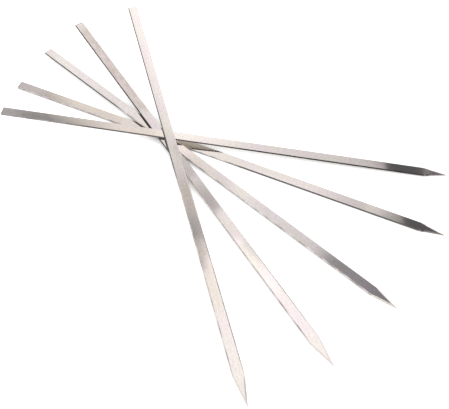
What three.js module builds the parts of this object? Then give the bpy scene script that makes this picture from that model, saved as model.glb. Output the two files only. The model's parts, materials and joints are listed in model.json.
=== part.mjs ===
// Five flat steel kebab skewers, laid in a loose fan on a table.
// Each one is a single strip of stainless steel: a blunt end to hold, rounded long edges and a ground V point.
// They are loose. Each later skewer leans on the ones laid before it and touches the table near its point.
import * as THREE from 'three';

// Sizes of one skewer, in millimetres
const usualLength = 450;
const longerLength = 457;
const bladeWidth = 10;
const bladeThickness = 2;
const edgeRoundAcross = 0.9;
const edgeRoundUp = 0.95;
const edgeRoundShare = 0.35;
const endEase = 0.4;
const endCornerRadius = 0.9;

// The V point, ground on both faces along both flanks
const pointLength = 24;
const tipWidth = 0.4;
const tipThickness = 0.4;
const grindWidth = 1.4;
const grindDepth = 0.6;
const grindRunIn = 3;
const ridgeWidth = 0.1;

// Clearance that a skewer keeps above the ones it leans on
const stackGap = 0.3;

// How finely the rounded edges are cut
const edgeSteps = 5;
const endSteps = 4;

// The fan from the bottom of the stack up. Heading is the way the point looks, in degrees from +X.
// behindShare is the share of the length that lies on the blunt side of the common crossing.
// sideShare moves a skewer to its left of that crossing, as a share of the blade width.
// Two of the five are cut a little longer than the others.
const fan = [
  { name: 'bottom_skewer', length: longerLength, heading: -17.3, behindShare: 0.378, sideShare: 0.29 },
  { name: 'second_skewer', length: usualLength, heading: -35.5, behindShare: 0.396, sideShare: -0.04 },
  { name: 'middle_skewer', length: longerLength, heading: -51.5, behindShare: 0.412, sideShare: -0.3 },
  { name: 'fourth_skewer', length: usualLength, heading: -2.5, behindShare: 0.368, sideShare: 0.01 },
  { name: 'top_skewer', length: usualLength, heading: -69.3, behindShare: 0.406, sideShare: 0.28 },
];

const halfWidth = bladeWidth / 2;
const halfThickness = bladeThickness / 2;
const quarterTurn = Math.PI / 2;

// The flat faces end where the grinds of the two flanks meet in a ridge, this far from the tip
const ridgeStartsAt = grindWidth + ridgeWidth / 2;
const flatEndsBeforeTip = pointLength * (ridgeStartsAt - tipWidth / 2) / (halfWidth - tipWidth / 2);

// How far a rounded edge of this radius has drawn back, at a distance from its end
function roundedInset(radius, distance) {
  const left = Math.max(radius - distance, 0);
  return radius - Math.sqrt(radius * radius - left * left);
}

// One cross-section, as a closed ring of [across, up] points that runs anticlockwise seen from the point.
// Each corner is a quarter round where roundShare is 1 and a flat facet where it is 0.
function sectionRing({ across, up, bevelAcross, bevelUp, roundShare }) {
  const ring = [];
  const corners = [[1, 1], [-1, 1], [-1, -1], [1, -1]];
  for (const [sideSign, upSign] of corners) {
    const forward = sideSign * upSign > 0;
    for (let step = 0; step <= edgeSteps; step++) {
      const share = (forward ? step : edgeSteps - step) / edgeSteps;
      const flatAcross = 1 - share;
      const flatUp = share;
      const roundAcross = Math.cos(share * quarterTurn);
      const roundUp = Math.sin(share * quarterTurn);
      const acrossShare = THREE.MathUtils.lerp(flatAcross, roundAcross, roundShare);
      const upShare = THREE.MathUtils.lerp(flatUp, roundUp, roundShare);
      ring.push([
        sideSign * (across - bevelAcross * (1 - acrossShare)),
        upSign * (up - bevelUp * (1 - upShare)),
      ]);
    }
  }
  return ring;
}

// The section at a distance from the blunt end, with the end's corners and edges rounded off
function bladeSection(distance) {
  const up = halfThickness - roundedInset(endEase, distance);
  return {
    across: halfWidth - roundedInset(endCornerRadius, distance),
    up,
    bevelAcross: edgeRoundAcross,
    bevelUp: edgeRoundUp * (up / halfThickness),
    roundShare: edgeRoundShare,
  };
}

// The section of the V point: its flanks close in, and the grinds eat up the flat between them
function pointSection(distance, length) {
  const doneShare = (distance - (length - pointLength)) / pointLength;
  const groundShare = Math.min(doneShare * pointLength / grindRunIn, 1);
  const across = THREE.MathUtils.lerp(halfWidth, tipWidth / 2, doneShare);
  const fullBevel = THREE.MathUtils.lerp(edgeRoundAcross, grindWidth, groundShare);
  const bevelAcross = Math.min(fullBevel, across - ridgeWidth / 2);
  const fullDepth = THREE.MathUtils.lerp(edgeRoundUp, grindDepth, groundShare);
  const bevelUp = fullDepth * (bevelAcross / fullBevel);
  const thinnedShare = Math.max(distance - (length - flatEndsBeforeTip), 0) / flatEndsBeforeTip;
  const flank = THREE.MathUtils.lerp(halfThickness - fullDepth, tipThickness / 2, thinnedShare);
  const roundShare = edgeRoundShare * (1 - groundShare);
  return { across, up: flank + bevelUp, bevelAcross, bevelUp, roundShare };
}

// Where sections are taken along a skewer of this length
function stations(length) {
  const list = [];
  for (let step = 0; step <= endSteps; step++) {
    list.push(endEase * (1 - Math.cos(quarterTurn * (step / endSteps))));
  }
  for (let step = 1; step <= endSteps; step++) {
    const distance = endCornerRadius * (1 - Math.cos(quarterTurn * (step / endSteps)));
    if (distance > endEase) {
      list.push(distance);
    }
  }
  const shoulder = length - pointLength;
  list.push(shoulder);
  list.push(shoulder + grindRunIn / 2);
  list.push(shoulder + grindRunIn);
  list.push(length - flatEndsBeforeTip);
  list.push(length - flatEndsBeforeTip / 2);
  list.push(length);
  return list;
}

// Joins rings of equal point counts into one closed skin, with a flat cap at each end
function loft(rings) {
  const perRing = rings[0].points.length;
  const positions = [];
  for (const { distance, points } of rings) {
    for (const [across, up] of points) {
      positions.push(distance, across, up + halfThickness);
    }
  }
  const index = [];
  for (let ring = 0; ring + 1 < rings.length; ring++) {
    for (let point = 0; point < perRing; point++) {
      const here = ring * perRing + point;
      const next = ring * perRing + (point + 1) % perRing;
      index.push(here, next, next + perRing);
      index.push(here, next + perRing, here + perRing);
    }
  }
  const last = (rings.length - 1) * perRing;
  for (let point = 1; point + 1 < perRing; point++) {
    index.push(0, point + 1, point);
    index.push(last, last + point, last + point + 1);
  }
  const geometry = new THREE.BufferGeometry();
  geometry.setAttribute('position', new THREE.Float32BufferAttribute(positions, 3));
  geometry.setIndex(index);
  return geometry;
}

// One skewer along +X: blunt end at 0, underside at height 0
function skewerGeometry(length) {
  const shoulder = length - pointLength;
  const rings = stations(length).map((distance) => {
    const section = distance < shoulder ? bladeSection(distance) : pointSection(distance, length);
    return { distance, points: sectionRing(section) };
  });
  return loft(rings);
}

// A skewer's line in plan: the rest point is where its flat underside ends, near the tip
function planLine({ length, heading, behindShare, sideShare }) {
  const angle = THREE.MathUtils.degToRad(heading);
  const along = new THREE.Vector2(Math.cos(angle), Math.sin(angle));
  const left = new THREE.Vector2(-along.y, along.x);
  const reach = length * (1 - behindShare) - flatEndsBeforeTip;
  const rest = along.clone().multiplyScalar(reach).addScaledVector(left, bladeWidth * sideShare);
  return { angle, along, left, rest };
}

// Distances behind the two rest points at which an edge of one strip crosses an edge of the other
function edgeCrossing(upper, upperEdge, lower, lowerEdge) {
  const from = upper.rest.clone().addScaledVector(upper.left, upperEdge);
  const to = lower.rest.clone().addScaledVector(lower.left, lowerEdge);
  const between = from.sub(to);
  const turn = upper.along.cross(lower.along);
  return { onUpper: between.cross(lower.along) / turn, onLower: between.cross(upper.along) / turn };
}

// The tilt, as rise over run, that carries a skewer just clear of every one below it
function riseOver(upper, placed) {
  let rise = 0;
  for (const lower of placed) {
    const slant = Math.hypot(1, lower.rise);
    for (const upperEdge of [-halfWidth, halfWidth]) {
      for (const lowerEdge of [-halfWidth, halfWidth]) {
        const { onUpper, onLower } = edgeCrossing(upper, upperEdge, lower, lowerEdge);
        const topOfLower = onLower * lower.rise + bladeThickness * slant;
        rise = Math.max(rise, (topOfLower + stackGap) / onUpper);
      }
    }
  }
  return rise;
}

// Satin stainless steel, very slightly warm
function steel(name) {
  return new THREE.MeshStandardMaterial({ name, color: 0xd8d2cf, roughness: 0.3, metalness: 1 });
}

// Lays the skewers one after another, each in its own place with its own tilt
function layFan() {
  const pile = new THREE.Group();
  const placed = [];
  for (const entry of fan) {
    const line = planLine(entry);
    line.rise = riseOver(line, placed);
    placed.push(line);
    const mesh = new THREE.Mesh(skewerGeometry(entry.length), steel('stainless_steel'));
    mesh.name = entry.name;
    mesh.position.x = flatEndsBeforeTip - entry.length;
    const place = new THREE.Group();
    place.position.set(line.rest.x, line.rest.y, 0);
    place.rotation.set(0, Math.atan(line.rise), line.angle, 'ZYX');
    place.add(mesh);
    pile.add(place);
  }
  return pile;
}

// The origin is on the table, under the middle of the fan's box
const pile = layFan();
const box = new THREE.Box3().setFromObject(pile, true);
const middle = box.getCenter(new THREE.Vector3());
pile.position.set(-middle.x, -middle.y, -box.min.z);

const group = new THREE.Group();
group.add(pile);

export default group;
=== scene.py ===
import json
import math
from collections import namedtuple

import bpy
import numpy as np
from mathutils import Matrix, Vector


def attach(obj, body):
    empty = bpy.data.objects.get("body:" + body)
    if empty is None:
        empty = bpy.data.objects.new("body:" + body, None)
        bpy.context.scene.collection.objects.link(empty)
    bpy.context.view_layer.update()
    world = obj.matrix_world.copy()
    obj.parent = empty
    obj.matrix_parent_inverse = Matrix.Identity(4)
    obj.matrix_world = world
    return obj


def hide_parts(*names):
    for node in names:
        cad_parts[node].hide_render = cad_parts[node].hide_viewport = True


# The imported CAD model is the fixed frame
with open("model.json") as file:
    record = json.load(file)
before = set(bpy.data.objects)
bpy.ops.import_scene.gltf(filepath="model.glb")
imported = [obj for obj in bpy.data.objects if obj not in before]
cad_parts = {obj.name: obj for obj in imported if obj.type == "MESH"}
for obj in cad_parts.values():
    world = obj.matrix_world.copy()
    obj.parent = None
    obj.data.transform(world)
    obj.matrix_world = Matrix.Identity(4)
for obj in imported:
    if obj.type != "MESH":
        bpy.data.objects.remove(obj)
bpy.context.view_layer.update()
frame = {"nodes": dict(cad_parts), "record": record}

MM = 0.001
QUARTER_TURN = math.pi / 2
WHITE = (1.0, 1.0, 1.0, 1.0)

# Sizes of one skewer in millimetres, as the CAD has them
WIDTH = 10.0
THICKNESS = 2.0
ROUND_ACROSS = 0.9
ROUND_UP = 0.95
ROUND_SHARE = 0.35
END_EASE = 0.4
CORNER = 0.9
POINT = 24.0
TIP_WIDTH = 0.4
TIP_THICKNESS = 0.4
GRIND_WIDTH = 1.4
GRIND_DEPTH = 0.6
GRIND_RUN_IN = 3.0
RIDGE = 0.1

HALF_WIDTH = WIDTH / 2
HALF_THICKNESS = THICKNESS / 2
RIDGE_START = GRIND_WIDTH + RIDGE / 2
FLAT_END = POINT * (RIDGE_START - TIP_WIDTH / 2) / (HALF_WIDTH - TIP_WIDTH / 2)

# How finely the strips are drawn. Support points keep the shading flat close to an edge, no farther from
# the end of a flat run than this share of it. Edges that turn by more than the sharp angle stay sharp.
ARC_STEPS = 9
END_STEPS = 9
RUN_IN_STEPS = 4
POINT_STEPS = 14
RUN_STEPS = 4
BODY_STEP = 12.0
SUPPORT = 0.15
SUPPORT_SHARE_LIMIT = 0.25
SHARP_ANGLE = 19.0

# Two sections that match to this many decimals of a millimetre are one, and so are two CAD corners
# that match to so many decimals of a metre. A strip's length is measured to so many of a millimetre.
SECTION_DECIMALS = 4
CORNER_DECIMALS = 7
LENGTH_DECIMALS = 3

# The blunt end of a CAD skewer is the one that is wider over this length
END_ZONE = 2.0 * MM

# An upper corner has its own finish on this many of its steps. The rest are finished like the side.
CORNER_FINISH_STEPS = 8

# The strips' grain runs on from one to the next, this many millimetres apart in their UVs
STRIP_SPACING = 1000.0

# Material zones round a strip, in the order of its material slots
FACE, SIDE, EASED, SHEARED, GROUND, END, UNDER = range(7)

# The strips in the order of the stack, from the bottom up
BOTTOM, SECOND, MIDDLE, FOURTH, TOP = range(5)

# Tints of the steel
PINK = (0.850, 0.752, 0.766, 1.0)
STRAW = (0.845, 0.790, 0.722, 1.0)
# Mill finish darkened far below bare steel: painted dark reflection along the sides and edges, and painted
# shade on the lower corners
MILL_AND_PAINTED_SHADE = (0.13, 0.12, 0.118, 1.0)
MILL_WARM_AND_PAINTED_SHADE = (0.15, 0.135, 0.13, 1.0)
# Underside darker than the face: painted shade under the strips
UNDERSIDE_PAINTED_SHADE = (0.60, 0.57, 0.51, 1.0)
UNDERSIDE_PAINTED_SHADE_WARM = (0.63, 0.59, 0.53, 1.0)
CUT = (0.42, 0.39, 0.38, 1.0)
CUT_WARM = (0.46, 0.43, 0.41, 1.0)

# Painted reflections, tints laid on parts of the strips: dimmer, greyer, brighter, warmer and cooler
# stretches of reflection, a dark rim at the blunt end, near-black and dark stretches, and grey and bright
# highlights along the edges
PAINTED_DIM_REFLECTION = (0.60, 0.51, 0.465, 1.0)
PAINTED_GREY_REFLECTION = (0.52, 0.50, 0.49, 1.0)
PAINTED_BRIGHT_REFLECTION = (0.93, 0.87, 0.855, 1.0)
PAINTED_WARM_REFLECTION = (0.875, 0.775, 0.680, 1.0)
PAINTED_COOL_REFLECTION = (0.848, 0.788, 0.806, 1.0)
PAINTED_DARK_RIM = (0.16, 0.15, 0.15, 1.0)
PAINTED_BLACK_REFLECTION = (0.020, 0.018, 0.018, 1.0)
PAINTED_DARK_REFLECTION = (0.22, 0.20, 0.195, 1.0)
PAINTED_MID_REFLECTION = (0.52, 0.47, 0.455, 1.0)
PAINTED_EDGE_HIGHLIGHT = (0.850, 0.775, 0.755, 1.0)

# Places that lie just off a strip, for painted stretches that run off its end or its tip
OFF_END = -10.0
OFF_TIP = 470.0

# Painted reflections in single stretches, laid over the plain tint one after another. Each row has the
# strip, where the stretch starts and stops, how softly, how much its borders slant across the strip,
# its strength and its tint. Lengths are in millimetres from the blunt end.
FACE_PAINTED_REFLECTIONS = (
    (MIDDLE, 8.0, 150.0, 6.0, 0.0, 0.72, PAINTED_DIM_REFLECTION),
    (FOURTH, OFF_END, 50.0, 1.5, 1.15, 0.45, PAINTED_GREY_REFLECTION),
    (BOTTOM, 28.0, 66.0, 6.0, 0.0, 0.40, PAINTED_DIM_REFLECTION),
    (SECOND, 14.0, 150.0, 6.0, 0.0, 0.75, PAINTED_BRIGHT_REFLECTION),
    (BOTTOM, 42.0, 135.0, 12.0, 0.0, 1.0, PAINTED_WARM_REFLECTION),
    (FOURTH, 58.0, 165.0, 10.0, 1.15, 0.85, PAINTED_WARM_REFLECTION),
    (SECOND, 135.0, 245.0, 15.0, 0.0, 0.60, PAINTED_WARM_REFLECTION),
    (SECOND, 290.0, OFF_TIP, 25.0, 0.0, 0.70, PAINTED_COOL_REFLECTION),
    (TOP, 243.0, 276.0, 6.0, 0.0, 0.90, PAINTED_WARM_REFLECTION),
    (TOP, 305.0, 368.0, 10.0, 0.0, 0.70, PAINTED_WARM_REFLECTION),
    # Painted dark reflections as rims along the blunt ends of the faces
    (BOTTOM, OFF_END, 1.2, 0.6, 0.0, 0.80, PAINTED_DARK_RIM),
    (SECOND, OFF_END, 0.8, 0.5, 0.0, 0.50, PAINTED_DARK_RIM),
    (MIDDLE, OFF_END, 1.2, 0.6, 0.0, 0.80, PAINTED_DARK_RIM),
    (FOURTH, OFF_END, 1.0, 0.6, 0.0, 0.55, PAINTED_DARK_RIM),
)
# Near-black painted reflections along stretches of the sides and edges
PAINTED_DARK_EDGE_STRETCHES = (
    (FOURTH, 225.0, 428.0, 12.0, 0.0, 0.90, PAINTED_BLACK_REFLECTION),
    (MIDDLE, OFF_END, 60.0, 12.0, 0.0, 0.80, PAINTED_BLACK_REFLECTION),
    (MIDDLE, 100.0, 190.0, 12.0, 0.0, 0.90, PAINTED_BLACK_REFLECTION),
)
# Painted reflections on the rolled sides: near-black stretches, and grey ones towards the points
SIDE_PAINTED_REFLECTIONS = PAINTED_DARK_EDGE_STRETCHES + (
    (SECOND, 240.0, OFF_TIP, 12.0, 0.0, 0.80, PAINTED_MID_REFLECTION),
    (MIDDLE, 255.0, OFF_TIP, 12.0, 0.0, 0.80, PAINTED_MID_REFLECTION),
    (TOP, 250.0, OFF_TIP, 12.0, 0.0, 0.80, PAINTED_MID_REFLECTION),
)
# Painted reflections on the sheared edge: near-black stretches, and bright painted highlights along long
# stretches
RIGHT_EDGE_PAINTED_REFLECTIONS = PAINTED_DARK_EDGE_STRETCHES + (
    (FOURTH, OFF_END, 75.0, 12.0, 0.0, 0.80, PAINTED_MID_REFLECTION),
    (BOTTOM, OFF_END, 245.0, 12.0, 0.0, 1.0, PAINTED_EDGE_HIGHLIGHT),
    (SECOND, 118.0, OFF_TIP, 8.0, 0.0, 1.0, PAINTED_EDGE_HIGHLIGHT),
    (MIDDLE, 235.0, OFF_TIP, 12.0, 0.0, 1.0, PAINTED_EDGE_HIGHLIGHT),
    (TOP, 235.0, OFF_TIP, 12.0, 0.0, 1.0, PAINTED_EDGE_HIGHLIGHT),
)
# Painted reflections on the rounded edge: those of the face, and near-black stretches towards the points
LEFT_EDGE_PAINTED_REFLECTIONS = FACE_PAINTED_REFLECTIONS + (
    (MIDDLE, 335.0, 428.0, 20.0, 0.0, 0.90, PAINTED_BLACK_REFLECTION),
    (TOP, 290.0, 424.0, 20.0, 0.0, 0.85, PAINTED_BLACK_REFLECTION),
)
# Painted dark reflections on the grinds near two of the points
GRIND_PAINTED_REFLECTIONS = (
    (BOTTOM, 430.0, 438.0, 1.5, 0.0, 1.0, PAINTED_DARK_REFLECTION),
    (FOURTH, 423.0, 431.0, 1.5, 0.0, 1.0, PAINTED_DARK_REFLECTION),
)

# Where the middle line of the face lies across the grain in the UVs. Slanted borders turn about it.
FACE_MIDDLE = 5.4

# In its thinnest spots a painted stretch keeps this share of its strength
THINNEST_SHARE = 0.35

# Noise in the steel: its size across and along the grain, its detail and roughness, and the band of its
# values that is used in full. Sizes are in millimetres, and those of the lines in widths of a fine line.
Pattern = namedtuple("Pattern", "across along detail roughness low high")
TINT_DRIFT = Pattern(14.0, 30.0, 2.0, 0.55, 0.35, 0.65)
HANDLING = Pattern(7.0, 11.0, 3.0, 0.6, 0.45, 0.75)
FLECKS = Pattern(1.1, 3.2, 2.0, 0.6, 0.3, 0.7)
BLOTCHES = Pattern(5.0, 12.0, 3.0, 0.6, 0.35, 0.62)
FINE_LINES = Pattern(1.0, 160.0, 3.0, 0.65, 0.3, 0.7)
BROAD_LINES = Pattern(5.0, 500.0, 2.0, 0.5, 0.3, 0.7)

# How deep the flecks are, as a share of the wear along the brushed lines, and how much of the roughness
# comes and goes with the lines and with handling
FLECK_SHARE = 1.6
LINE_ROUGH_SHARE = 0.1
HANDLED_ROUGH_SHARE = 0.12

# A plain white floor. Camera rays, and mirror rays in part, see it lifted to white, with the strips'
# shadow on it. Within this reach of a strip the lift is dimmed by occlusion, a painted contact shadow.
FLOOR_RADIUS = 6.0
FLOOR_SIDES = 96
FLOOR_WHITE = (0.86, 0.86, 0.86, 1.0)
FLOOR_LIFT = 0.70
MIRRORED_SHARE = 0.5
CONTACT_REACH = 0.020
CONTACT_GAIN = 1.5
CONTACT_SAMPLES = 16

# One soft light ceiling hangs over the table, out of the camera's sight. Its places are given in
# shares of its height, as seen from the middle of the table. Its level slopes with the direction in
# which it is seen from there, and falls nowhere below the least one.
CEILING_HEIGHT = 0.45
CEILING_LEVEL = 0.526
CEILING_SLOPE = (-0.234, 0.141, -0.233)
CEILING_LEAST = 0.105

# How far the ceiling reaches: left, right, front and back
CEILING_EDGES = (-1.22, 1.32, -0.66, 2.4)

# Light from the dim places is cooler, and plain from the full level on
DIM_CAST = (0.98, 0.99, 1.08, 1.0)
DIM_LEVEL = 0.10
FULL_LEVEL = 0.50

# Brighter and darker fields of the ceiling, the large ones first: centre x and y, half sizes x and y,
# turn in degrees, softness of the border, and how much the field adds
FIELDS = (
    (-0.28, 1.18, 1.14, 0.50, -46.0, 0.016, 0.37),
    (0.28, -0.14, 0.395, 0.30, -28.6, 0.008, 0.74),
    (-0.39, -0.62, 0.77, 0.17, 0.0, 0.030, 0.60),
    (0.88, 0.85, 0.09, 0.58, 0.0, 0.003, -0.80),
    (-0.50, 0.35, 0.48, 0.44, -12.0, 0.018, -0.26),
    (-0.14, 1.31, 0.50, 0.30, -66.0, 0.022, 0.36),
    (-0.64, 0.03, 0.36, 0.53, 0.0, 0.030, 0.55),
    (0.01, 0.64, 0.48, 0.10, -1.0, 0.060, 0.40),
    (-0.92, 0.85, 0.20, 0.05, 0.0, 0.010, -0.05),
    (-0.83, 1.03, 0.08, 0.05, -17.0, 0.010, -0.08),
    (0.37, -0.10, 0.20, 0.24, 0.0, 0.020, 0.20),
    (0.89, 0.84, 0.10, 0.10, 0.0, 0.008, 0.24),
    (0.71, 0.55, 0.085, 0.07, -18.0, 0.006, 0.15),
    (0.066, 0.371, 0.090, 0.06, -52.0, 0.006, 0.28),
    (-0.032, 0.199, 0.055, 0.050, -8.0, 0.004, 0.28),
    (-0.107, 0.396, 0.060, 0.045, -20.0, 0.010, 0.07),
    (-0.150, 0.641, 0.058, 0.030, -52.0, 0.006, -0.32),
    (0.56, 0.24, 0.12, 0.08, -35.0, 0.020, 0.06),
    (0.33, 0.40, 0.12, 0.05, -34.0, 0.015, 0.10),
    (-0.24, 0.79, 0.10, 0.08, -35.0, 0.030, -0.13),
    (-0.63, 0.90, 0.11, 0.12, 0.0, 0.020, -0.11),
    (-0.70, 0.85, 0.045, 0.040, 0.0, 0.006, 0.06),
    (-0.55, 0.84, 0.070, 0.050, 0.0, 0.015, -0.06),
    (-0.10, 0.79, 0.070, 0.050, 0.0, 0.020, -0.12),
    (0.10, -0.16, 0.070, 0.140, 0.0, 0.015, 0.11),
    (0.203, 0.195, 0.085, 0.050, -52.0, 0.010, -0.14),
    (-0.04, 0.50, 0.070, 0.05, -52.0, 0.010, -0.12),
    (1.04, 0.80, 0.070, 0.12, 0.0, 0.004, -0.15),
)

# The rest of the studio is one pale even surround
WORLD_LEVEL = 1.0

# The camera, fitted to the photograph
CAMERA_PLACE = (5.55 * MM, -285.07 * MM, 425.21 * MM)
CAMERA_YAW = 0.003
CAMERA_PITCH = 59.205
CAMERA_ROLL = 5.295
FOCAL_PIXELS = 522.85
IMAGE_WIDTH = 449
SENSOR = 36.0
CLIP_START = 0.01
CLIP_END = 50.0


def lerp(a, b, share):
    return a + (b - a) * share


def rounded_inset(radius, distance):
    """How far a rounded edge has drawn back at a distance from its end."""
    left = max(radius - distance, 0.0)
    return radius - math.sqrt(radius * radius - left * left)


def section_at(distance, length):
    """Half width, half height, the corner cuts and how round they are, at a distance from the blunt end."""
    shoulder = length - POINT
    if distance < shoulder:
        across = HALF_WIDTH - rounded_inset(CORNER, distance)
        up = HALF_THICKNESS - rounded_inset(END_EASE, distance)
        return across, up, ROUND_ACROSS, ROUND_UP * up / HALF_THICKNESS, ROUND_SHARE
    done = (distance - shoulder) / POINT
    ground = min(done * POINT / GRIND_RUN_IN, 1.0)
    across = lerp(HALF_WIDTH, TIP_WIDTH / 2, done)
    full_cut = lerp(ROUND_ACROSS, GRIND_WIDTH, ground)
    cut_across = min(full_cut, across - RIDGE / 2)
    full_depth = lerp(ROUND_UP, GRIND_DEPTH, ground)
    cut_up = full_depth * cut_across / full_cut
    thinned = max(distance - (length - FLAT_END), 0.0) / FLAT_END
    flank = lerp(HALF_THICKNESS - full_depth, TIP_THICKNESS / 2, thinned)
    return across, flank + cut_up, cut_across, cut_up, lerp(ROUND_SHARE, 0.0, ground)


def corner_arc(side, top, section):
    """The points of one corner of a section, in the ring's anticlockwise order."""
    across, up, cut_across, cut_up, roundness = section
    arc = []
    for step in range(ARC_STEPS + 1):
        share = step / ARC_STEPS
        if side * top < 0:
            share = 1 - share
        angle = share * QUARTER_TURN
        over = lerp(1 - share, math.cos(angle), roundness)
        rise = lerp(share, math.sin(angle), roundness)
        arc.append((side * (across - cut_across * (1 - over)), top * (up - cut_up * (1 - rise))))
    return arc


def flat_run(start, stop):
    """Points between the ends of a flat run, with a support point close to each end."""
    near = min(SUPPORT / math.dist(start, stop), SUPPORT_SHARE_LIMIT)
    shares = [lerp(near, 1 - near, step / RUN_STEPS) for step in range(RUN_STEPS + 1)]
    return [tuple(lerp(a, b, share) for a, b in zip(start, stop)) for share in shares]


def section_ring(distance, length):
    """The section as a closed ring of (across, up) points, and the zone of the step after each point."""
    section = section_at(distance, length)
    arcs = [corner_arc(side, top, section) for side, top in ((1, 1), (-1, 1), (-1, -1), (1, -1))]
    rolled = [SIDE] * (ARC_STEPS - CORNER_FINISH_STEPS)
    corner_zones = (
        rolled + [EASED] * CORNER_FINISH_STEPS,
        [SHEARED] * CORNER_FINISH_STEPS + rolled,
        # The lower corners take the dark side steel all round, as painted shade under the strips
        [SIDE] * ARC_STEPS,
        [SIDE] * ARC_STEPS,
    )
    flat_zones = (FACE, SIDE, UNDER, SIDE)
    ring = []
    zones = []
    for number, arc in enumerate(arcs):
        between = flat_run(arc[-1], arcs[(number + 1) % len(arcs)][0])
        ring += arc + between
        zones += corner_zones[number] + [flat_zones[number]] * (len(between) + 1)
    return ring, zones


def stations(length):
    """Distances along the strip at which a section is drawn."""
    shoulder = length - POINT
    ground = shoulder + GRIND_RUN_IN
    turns = [1 - math.cos(QUARTER_TURN * step / END_STEPS) for step in range(END_STEPS + 1)]
    places = [radius * turn for radius in (END_EASE, CORNER) for turn in turns]
    body_steps = int(shoulder // BODY_STEP)
    body_start, body_stop = CORNER + SUPPORT, shoulder - SUPPORT
    places += [lerp(body_start, body_stop, step / body_steps) for step in range(body_steps + 1)]
    places += [lerp(shoulder, ground, step / RUN_IN_STEPS) for step in range(RUN_IN_STEPS + 1)]
    places += [lerp(ground, length, step / POINT_STEPS) for step in range(POINT_STEPS + 1)]
    places.append(length - FLAT_END)
    return sorted({round(place, SECTION_DECIMALS) for place in places})


def ring_reach(ring):
    """How far round the ring each point lies from the first one, and the whole way round at the end."""
    reach = [0.0]
    for here, following in zip(ring, ring[1:] + ring[:1]):
        reach.append(reach[-1] + math.dist(here, following))
    return reach


def skewer_mesh(name, number, length):
    """One strip along +X from its blunt end, about its middle plane.

    Its UVs are in millimetres: U round the strip and V along the grain.
    """
    distances = stations(length)
    rings = [section_ring(distance, length)[0] for distance in distances]
    body_ring, zones = section_ring(length / 2, length)
    reach = ring_reach(body_ring)
    per_ring = len(zones)
    offset = number * STRIP_SPACING
    faces = []
    slots = []
    uvs = []
    for row in range(len(distances) - 1):
        here, ahead = row * per_ring, (row + 1) * per_ring
        low, high = distances[row] + offset, distances[row + 1] + offset
        in_point = distances[row] >= length - POINT
        for point, zone in enumerate(zones):
            following = (point + 1) % per_ring
            left, right = reach[point], reach[point + 1]
            faces.append((here + point, here + following, ahead + following, ahead + point))
            slots.append(GROUND if in_point and zone in (SIDE, EASED, SHEARED) else zone)
            uvs += [(left, low), (right, low), (right, high), (left, high)]
    last = len(rings) - 1
    for row, order, zone in ((0, range(per_ring - 1, -1, -1), END), (last, range(per_ring), GROUND)):
        faces.append(tuple(row * per_ring + point for point in order))
        slots.append(zone)
        uvs += [(rings[row][point][1], rings[row][point][0] + offset) for point in order]
    corners = [(d * MM, y * MM, z * MM) for d, ring in zip(distances, rings) for y, z in ring]
    mesh = bpy.data.meshes.new(name)
    mesh.from_pydata(corners, [], faces)
    mesh.polygons.foreach_set("material_index", slots)
    mesh.polygons.foreach_set("use_smooth", [True] * len(faces))
    layer = mesh.uv_layers.new(name="grain")
    layer.data.foreach_set("uv", [value for uv in uvs for value in uv])
    mesh.set_sharp_from_angle(angle=math.radians(SHARP_ANGLE))
    mesh.update()
    return mesh


def skewer_place(node):
    """The matrix that lays a strip, drawn along +X from its blunt end, on a CAD skewer, and its length."""
    corners = np.array([vertex.co for vertex in frame["nodes"][node].data.vertices])
    corners = np.unique(corners.round(CORNER_DECIMALS), axis=0)
    middle = corners.mean(axis=0)
    offsets = corners - middle
    along, _, up = np.linalg.svd(offsets, full_matrices=False)[2]
    if up[2] < 0:
        up = -up
    reach = offsets @ along
    breadth = np.abs(offsets @ np.cross(up, along))
    far_breadth = breadth[reach > reach.max() - END_ZONE].max()
    near_breadth = breadth[reach < reach.min() + END_ZONE].max()
    if far_breadth > near_breadth:
        along = -along
        reach = -reach
    across = np.cross(up, along)
    start = middle + along * reach.min()
    for axis in (across, up):
        spread = offsets @ axis
        start = start + axis * (spread.max() + spread.min()) / 2
    columns = np.column_stack([along, across, up, start])
    length = round((reach.max() - reach.min()) / MM, LENGTH_DECIMALS)
    return Matrix([list(row) for row in columns] + [[0, 0, 0, 1]]), length


# The mix node has several sockets of each name, so those for colour go by number
MIX_A = 6
MIX_B = 7
MIX_RESULT = 2


class Nodes:
    """A short way to write a node tree."""

    def __init__(self, owner):
        owner.use_nodes = True
        self.tree = owner.node_tree
        self.tree.nodes.clear()

    def put(self, socket, value):
        if isinstance(value, bpy.types.NodeSocket):
            self.tree.links.new(value, socket)
        else:
            socket.default_value = value

    def add(self, kind, inputs=None, **settings):
        node = self.tree.nodes.new(kind)
        for key, value in settings.items():
            setattr(node, key, value)
        for key, value in (inputs or {}).items():
            self.put(node.inputs[key], value)
        return node

    def math(self, operation, a, b=0.0, clamp=False):
        node = self.add("ShaderNodeMath", {0: a, 1: b}, operation=operation, use_clamp=clamp)
        return node.outputs[0]

    def remap(self, value, low, high, to_low, to_high):
        node = self.add(
            "ShaderNodeMapRange",
            {"Value": value, "From Min": low, "From Max": high, "To Min": to_low, "To Max": to_high},
        )
        return node.outputs["Result"]

    def noise(self, vector, pattern, unit=1.0):
        """Noise of one pattern, with its sizes in this unit."""
        scale = (1 / (pattern.across * unit), 1 / (pattern.along * unit), 1.0)
        stretched = self.add("ShaderNodeMapping", {"Vector": vector, "Scale": scale}).outputs["Vector"]
        node = self.add(
            "ShaderNodeTexNoise",
            {"Vector": stretched, "Scale": 1.0, "Detail": pattern.detail, "Roughness": pattern.roughness},
        )
        return node.outputs["Fac"]

    def spread(self, noise, pattern, to_low, to_high):
        """Noise of one pattern, with the band of it that is used spread from to_low to to_high."""
        return self.remap(noise, pattern.low, pattern.high, to_low, to_high)

    def mix(self, share, a, b):
        """A colour between a and b."""
        node = self.add("ShaderNodeMix", {0: share, MIX_A: a, MIX_B: b}, data_type="RGBA")
        return node.outputs[MIX_RESULT]


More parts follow.
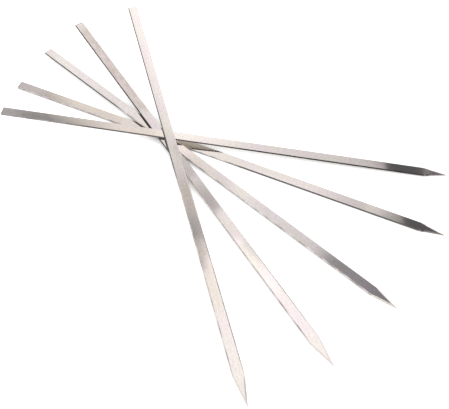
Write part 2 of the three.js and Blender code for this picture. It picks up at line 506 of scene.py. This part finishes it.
def with_painted_reflections(n, uv, tint, painted_reflections):
    """The tint with each painted reflection stretch laid over it, in blotches."""
    spot = n.add("ShaderNodeSeparateXYZ", {"Vector": uv}).outputs
    off_middle = n.math("SUBTRACT", spot["X"], FACE_MIDDLE)
    blotch = n.spread(n.noise(uv, BLOTCHES), BLOTCHES, THINNEST_SHARE, 1.0)
    for strip, start, stop, soft, slant, strength, painted_tint in painted_reflections:
        first, last = strip * STRIP_SPACING + start, strip * STRIP_SPACING + stop
        along = n.math("SUBTRACT", spot["Y"], n.math("MULTIPLY", off_middle, slant))
        begun = n.remap(along, first - soft, first + soft, 0.0, strength)
        ended = n.remap(along, last - soft, last + soft, 1.0, 0.0)
        share = n.math("MULTIPLY", n.math("MULTIPLY", begun, ended), blotch)
        tint = n.mix(share, tint, painted_tint)
    return tint


def steel(name, tints, rough, anisotropy, line_width, line_depth, wear, painted_reflections=()):
    """Brushed stainless steel: fine lines along the grain, a slow drift of tint, flecks and handled spots,
    with any painted reflections laid into the tint.

    Line width and depth are in millimetres. Wear is the share by which the shade comes and goes.
    """
    material = bpy.data.materials.new(name)
    n = Nodes(material)
    uv = n.add("ShaderNodeUVMap", uv_map="grain").outputs["UV"]
    tangent = n.add("ShaderNodeTangent", direction_type="UV_MAP", uv_map="grain").outputs["Tangent"]
    fine = n.noise(uv, FINE_LINES, line_width)
    broad = n.noise(uv, BROAD_LINES, line_width)
    lines = n.math("ADD", fine, broad)
    tint = n.mix(n.spread(n.noise(uv, TINT_DRIFT), TINT_DRIFT, 0.0, 1.0), *tints)
    # Painted reflections, lighter and darker stretches, laid into the tint
    if painted_reflections:
        tint = with_painted_reflections(n, uv, tint, painted_reflections)
    low, high = FINE_LINES.low + BROAD_LINES.low, FINE_LINES.high + BROAD_LINES.high
    line_shade = n.remap(lines, low, high, 1.0 - wear, 1.0 + wear)
    fleck_wear = wear * FLECK_SHARE
    fleck_shade = n.spread(n.noise(uv, FLECKS), FLECKS, 1.0 - fleck_wear, 1.0 + fleck_wear)
    worn = n.math("MULTIPLY", line_shade, fleck_shade)
    shade = n.add("ShaderNodeVectorMath", {0: tint, 1: worn}, operation="MULTIPLY").outputs["Vector"]
    line_rough = n.spread(fine, FINE_LINES, rough * (1 - LINE_ROUGH_SHARE), rough * (1 + LINE_ROUGH_SHARE))
    spot_rough = n.spread(n.noise(uv, HANDLING), HANDLING, 0.0, rough * HANDLED_ROUGH_SHARE)
    bump = n.add("ShaderNodeBump", {"Strength": 1.0, "Distance": line_depth * MM, "Height": lines})
    shader = n.add(
        "ShaderNodeBsdfPrincipled",
        {
            "Base Color": shade,
            "Metallic": 1.0,
            "Roughness": n.math("ADD", line_rough, spot_rough),
            "Anisotropic": anisotropy,
            "Tangent": tangent,
            "Normal": bump.outputs["Normal"],
        },
    )
    n.add("ShaderNodeOutputMaterial", {"Surface": shader.outputs["BSDF"]})
    return material


def strip_steels():
    """The steel of each zone: the upper face and the grinds are bright; the rolled sides, the sheared edge
    and the lower corners are a mill finish made near black, as painted dark reflection and painted shade,
    with painted highlights on the sheared edge.

    The underside is darker than the face, as painted shade under the strips, and the cut end is duller than
    the face.
    """
    return {
        FACE: steel(
            "brushed_face", (PINK, STRAW), rough=0.08, anisotropy=0.9,
            line_width=0.16, line_depth=0.0002, wear=0.045, painted_reflections=FACE_PAINTED_REFLECTIONS,
        ),
        # Near-black steel on the sides and lower corners: painted dark reflection and painted shade
        SIDE: steel(
            "rolled_side_with_painted_shade", (MILL_AND_PAINTED_SHADE, MILL_WARM_AND_PAINTED_SHADE), rough=0.30, anisotropy=0.5,
            line_width=0.25, line_depth=0.0004, wear=0.08, painted_reflections=SIDE_PAINTED_REFLECTIONS,
        ),
        EASED: steel(
            "rounded_edge", (PINK, STRAW), rough=0.11, anisotropy=0.8,
            line_width=0.12, line_depth=0.0002, wear=0.03, painted_reflections=LEFT_EDGE_PAINTED_REFLECTIONS,
        ),
        # Near-black steel on the sheared edge, with painted highlights and painted dark reflections along
        # it
        SHEARED: steel(
            "sheared_edge_painted_shade_and_highlights", (MILL_AND_PAINTED_SHADE, MILL_WARM_AND_PAINTED_SHADE), rough=0.16, anisotropy=0.6,
            line_width=0.12, line_depth=0.0002, wear=0.05, painted_reflections=RIGHT_EDGE_PAINTED_REFLECTIONS,
        ),
        GROUND: steel(
            "ground_point", (PINK, STRAW), rough=0.20, anisotropy=0.5,
            line_width=0.2, line_depth=0.0003, wear=0.04, painted_reflections=GRIND_PAINTED_REFLECTIONS,
        ),
        END: steel(
            "cut_end", (CUT, CUT_WARM), rough=0.34, anisotropy=0.4,
            line_width=0.2, line_depth=0.001, wear=0.10,
        ),
        # Underside darker than the face: painted shade under the strips
        UNDER: steel(
            "underside_painted_shade", (UNDERSIDE_PAINTED_SHADE, UNDERSIDE_PAINTED_SHADE_WARM), rough=0.22, anisotropy=0.5,
            line_width=0.2, line_depth=0.0006, wear=0.05,
        ),
    }


def add_object(name, mesh):
    thing = bpy.data.objects.new(name, mesh)
    bpy.context.scene.collection.objects.link(thing)
    return thing


def add_strips():
    """Lays a finely drawn strip over each CAD skewer. The record lists their bodies from the bottom up."""
    steels = strip_steels()
    for number, (body, members) in enumerate(frame["record"]["behaviour"]["bodies"].items()):
        node = members[0]
        place, length = skewer_place(node)
        mesh = skewer_mesh(node + "_strip", number, length)
        for zone in sorted(steels):
            mesh.materials.append(steels[zone])
        piece = add_object(node + "_strip", mesh)
        piece.matrix_world = place
        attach(piece, body)
        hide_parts(node)


def add_floor():
    """The white floor under the strips."""
    paper = bpy.data.materials.new("floor_paper")
    n = Nodes(paper)
    path = n.add("ShaderNodeLightPath").outputs
    mirrored = n.math("ADD", path["Is Glossy Ray"], path["Is Transmission Ray"], clamp=True)
    seen = n.math("ADD", path["Is Camera Ray"], n.math("MULTIPLY", mirrored, MIRRORED_SHARE), clamp=True)
    # The lift is dimmed near the strips by occlusion: painted contact shadow
    contact = n.add("ShaderNodeAmbientOcclusion", {"Distance": CONTACT_REACH}, samples=CONTACT_SAMPLES)
    open_share = n.math("MULTIPLY", contact.outputs["AO"], CONTACT_GAIN, clamp=True)
    lift_level = n.math("MULTIPLY", n.math("MULTIPLY", seen, FLOOR_LIFT), open_share)
    matte = n.add("ShaderNodeBsdfDiffuse", {"Color": FLOOR_WHITE}).outputs[0]
    lift = n.add("ShaderNodeEmission", {"Color": WHITE, "Strength": lift_level}).outputs[0]
    both = n.add("ShaderNodeAddShader", {0: matte, 1: lift}).outputs[0]
    n.add("ShaderNodeOutputMaterial", {"Surface": both})
    turns = [2 * math.pi * side / FLOOR_SIDES for side in range(FLOOR_SIDES)]
    rim = [(FLOOR_RADIUS * math.cos(turn), FLOOR_RADIUS * math.sin(turn), 0.0) for turn in turns]
    mesh = bpy.data.meshes.new("floor")
    mesh.from_pydata(rim, [], [tuple(range(FLOOR_SIDES))])
    mesh.materials.append(paper)
    floor = add_object("floor", mesh)


def soft_step(n, inside, soft):
    """Rises smoothly from 0 to 1 as inside goes from negative to positive."""
    power = n.math("EXPONENT", n.math("DIVIDE", n.math("MULTIPLY", inside, -1.0), soft))
    return n.math("DIVIDE", 1.0, n.math("ADD", power, 1.0))


def field_mask(n, x, y, mid_x, mid_y, half_x, half_y, turn, soft):
    """1 inside a turned rectangle of the ceiling and 0 outside it, with a soft border."""
    cosine, sine = math.cos(math.radians(turn)), math.sin(math.radians(turn))
    off_x, off_y = n.math("SUBTRACT", x, mid_x), n.math("SUBTRACT", y, mid_y)
    along = n.math("ADD", n.math("MULTIPLY", off_x, cosine), n.math("MULTIPLY", off_y, sine))
    across = n.math("SUBTRACT", n.math("MULTIPLY", off_y, cosine), n.math("MULTIPLY", off_x, sine))
    in_x = soft_step(n, n.math("SUBTRACT", half_x, n.math("ABSOLUTE", along)), soft)
    in_y = soft_step(n, n.math("SUBTRACT", half_y, n.math("ABSOLUTE", across)), soft)
    return n.math("MULTIPLY", in_x, in_y)


def ceiling_level(n, x, y):
    """How bright the ceiling is at a place: a plain slope with the fields added to it."""
    squares = n.math("ADD", n.math("MULTIPLY", x, x), n.math("MULTIPLY", y, y))
    away = n.math("SQRT", n.math("ADD", squares, 1.0))
    slope_x, slope_y, slope_up = CEILING_SLOPE
    slope = n.math("ADD", n.math("MULTIPLY", x, slope_x), n.math("MULTIPLY", y, slope_y))
    slope = n.math("DIVIDE", n.math("ADD", slope, slope_up), away)
    level = n.math("ADD", slope, CEILING_LEVEL)
    for *shape, strength in FIELDS:
        level = n.math("ADD", level, n.math("MULTIPLY", field_mask(n, x, y, *shape), strength))
    return n.math("MAXIMUM", level, CEILING_LEAST)


def add_ceiling():
    """The light ceiling, which the camera doesn't see."""
    material = bpy.data.materials.new("light_ceiling")
    n = Nodes(material)
    spot = n.add("ShaderNodeTexCoord").outputs["Object"]
    share = n.add("ShaderNodeVectorMath", {0: spot, "Scale": 1 / CEILING_HEIGHT}, operation="SCALE")
    parts = n.add("ShaderNodeSeparateXYZ", {"Vector": share.outputs["Vector"]}).outputs
    level = ceiling_level(n, parts["X"], parts["Y"])
    cast = n.mix(n.remap(level, DIM_LEVEL, FULL_LEVEL, 0.0, 1.0), DIM_CAST, WHITE)
    glow = n.add("ShaderNodeEmission", {"Color": cast, "Strength": level})
    n.add("ShaderNodeOutputMaterial", {"Surface": glow.outputs[0]})
    left, right, front, back = (CEILING_HEIGHT * edge for edge in CEILING_EDGES)
    plan = ((left, front), (left, back), (right, back), (right, front))
    mesh = bpy.data.meshes.new("light_ceiling")
    mesh.from_pydata([(x, y, CEILING_HEIGHT) for x, y in plan], [], [tuple(range(len(plan)))])
    mesh.materials.append(material)
    ceiling = add_object("light_ceiling", mesh)
    ceiling.visible_camera = False
    ceiling.visible_shadow = False


def add_surround():
    """The even light all round."""
    world = bpy.data.worlds.new("studio")
    n = Nodes(world)
    surround = n.add("ShaderNodeBackground", {"Color": WHITE, "Strength": WORLD_LEVEL})
    n.add("ShaderNodeOutputWorld", {"Surface": surround.outputs[0]})
    bpy.context.scene.world = world


def add_camera():
    """The camera that took the photograph. Yaw turns it right from +Y, pitch down and roll to the left."""
    yaw, pitch, roll = (math.radians(angle) for angle in (CAMERA_YAW, CAMERA_PITCH, CAMERA_ROLL))
    forward = Vector((math.sin(yaw) * math.cos(pitch), math.cos(yaw) * math.cos(pitch), -math.sin(pitch)))
    level_right = Vector((math.cos(yaw), -math.sin(yaw), 0.0))
    level_up = level_right.cross(forward)
    right = level_right * math.cos(roll) + level_up * math.sin(roll)
    up = level_up * math.cos(roll) - level_right * math.sin(roll)
    lens = bpy.data.cameras.new("camera")
    lens.sensor_fit = "HORIZONTAL"
    lens.sensor_width = SENSOR
    lens.lens = FOCAL_PIXELS / IMAGE_WIDTH * SENSOR
    lens.clip_start = CLIP_START
    lens.clip_end = CLIP_END
    camera = add_object("camera", lens)
    facing = Matrix([list(axis) for axis in (right, up, -forward)]).transposed()
    camera.matrix_world = Matrix.Translation(Vector(CAMERA_PLACE)) @ facing.to_4x4()
    bpy.context.scene.camera = camera


add_strips()
add_floor()
add_ceiling()
add_surround()
add_camera()

bpy.context.scene.view_settings.view_transform = "Standard"
